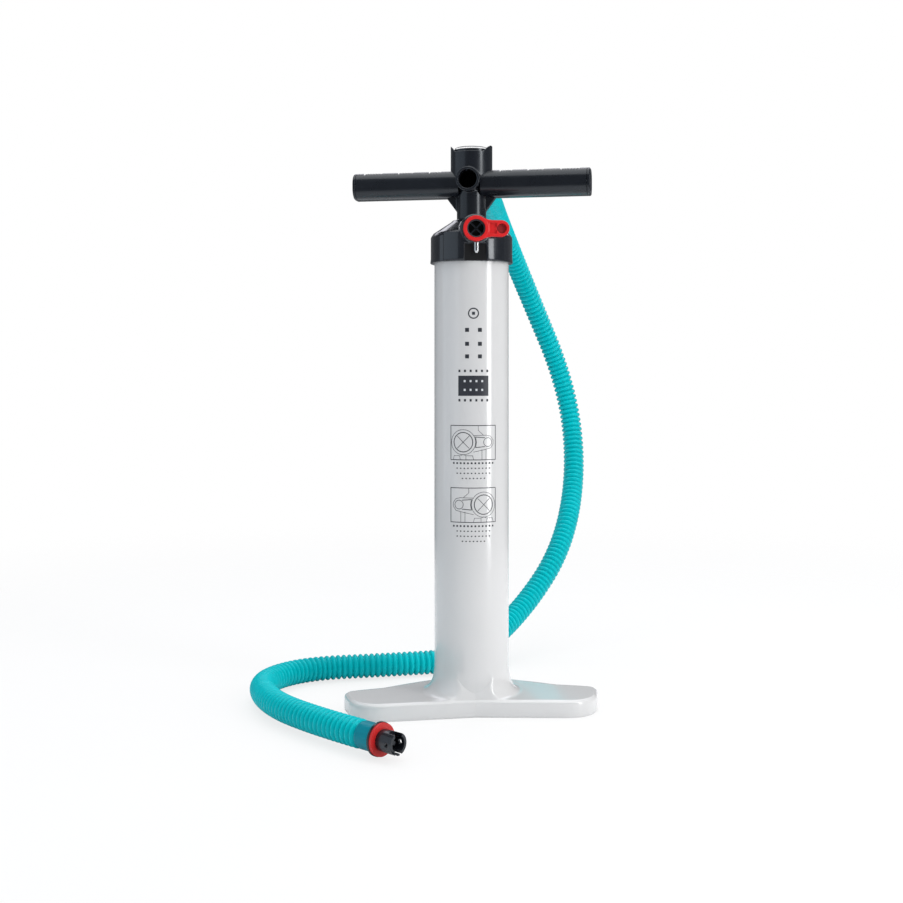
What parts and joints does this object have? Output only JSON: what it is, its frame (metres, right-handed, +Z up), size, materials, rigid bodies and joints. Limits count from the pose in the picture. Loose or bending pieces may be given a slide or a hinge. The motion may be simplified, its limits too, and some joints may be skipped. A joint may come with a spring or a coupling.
{
  "type": "double action hand pump",
  "caption": "Upright double action air pump with a T handle on a hollow rod, a winged foot, a turning selector lever on the cap, a gauge in the handle and a corrugated hose.",
  "frame": {"origin": "on the barrel's axis, in the plane the foot stands on", "axes": "+Z up the barrel, -Y out of the pump's front with the selector, X along the foot's wings"},
  "size_m": [0.4356, 0.6327, 0.6057],
  "materials": {
    "white_moulding": "gloss white injection moulding",
    "black_moulding": "satin black moulding",
    "grey_moulding": "natural grey acetal",
    "red_moulding": "satin red moulding",
    "red_seal": "red rubber",
    "teal_hose": "corrugated teal vinyl",
    "teal_cuff": "smooth teal vinyl",
    "black_rubber": "black rubber",
    "bright_steel": "bright plated steel",
    "rod_aluminium": "anodised tube",
    "dial_white": "printed white dial",
    "needle_red": "red pointer",
    "clear_lens": "clear moulded lens"
  },
  "bodies": {
    "base": {"barrel_and_foot": "white_moulding", "intake_flap": "black_rubber", "cap_seal": "black_rubber", "top_cap": "black_moulding", "cap_lock_pin": "bright_steel", "rod_bush": "grey_moulding", "rod_wiper": "black_rubber", "hose": "teal_hose", "hose_cuff_end": "teal_cuff", "valve_nozzle": "black_moulding", "nozzle_gasket": "red_seal", "valve_pusher": "black_moulding"},
    "plunger": {"piston_rod": "rod_aluminium", "delivery_tube": "rod_aluminium", "rod_gland": "grey_moulding", "piston_lower": "grey_moulding", "piston_upper": "grey_moulding", "piston_seal": "black_rubber", "piston_screws": "bright_steel", "handle_body": "black_moulding", "rod_screws": "bright_steel", "left_grip_plug": "black_moulding", "right_grip_plug": "black_moulding", "gauge_case": "black_moulding", "gauge_dial": "dial_white", "gauge_lens": "clear_lens", "gauge_bezel": "black_moulding", "port_washer": "black_rubber", "hose_tail": "black_moulding", "hose_nut": "black_moulding", "hose_cuff_start": "teal_cuff"},
    "selector": {"selector_disc": "black_moulding", "vent_grille": "black_moulding", "selector_lever": "red_moulding"},
    "needle": {"gauge_needle": "needle_red"}
  },
  "joints": [
    {"name": "plunger_stroke", "type": "slide", "parent": "base", "child": "plunger", "axis": [0, 0, 1], "range_m": [0, 0.44], "deforming": ["hose"]},
    {"name": "selector_turn", "type": "hinge", "parent": "base", "child": "selector", "pos_m": [0, -0.0462, 0.5105], "axis": [0, -1, 0], "range_deg": [0, 180]},
    {"name": "needle_turn", "type": "hinge", "parent": "plunger", "child": "needle", "pos_m": [0, 0, 0.597], "axis": [0, 0, -1], "range_deg": [0, 270], "stiffness_Nm_per_rad": 0.0005}
  ]
}
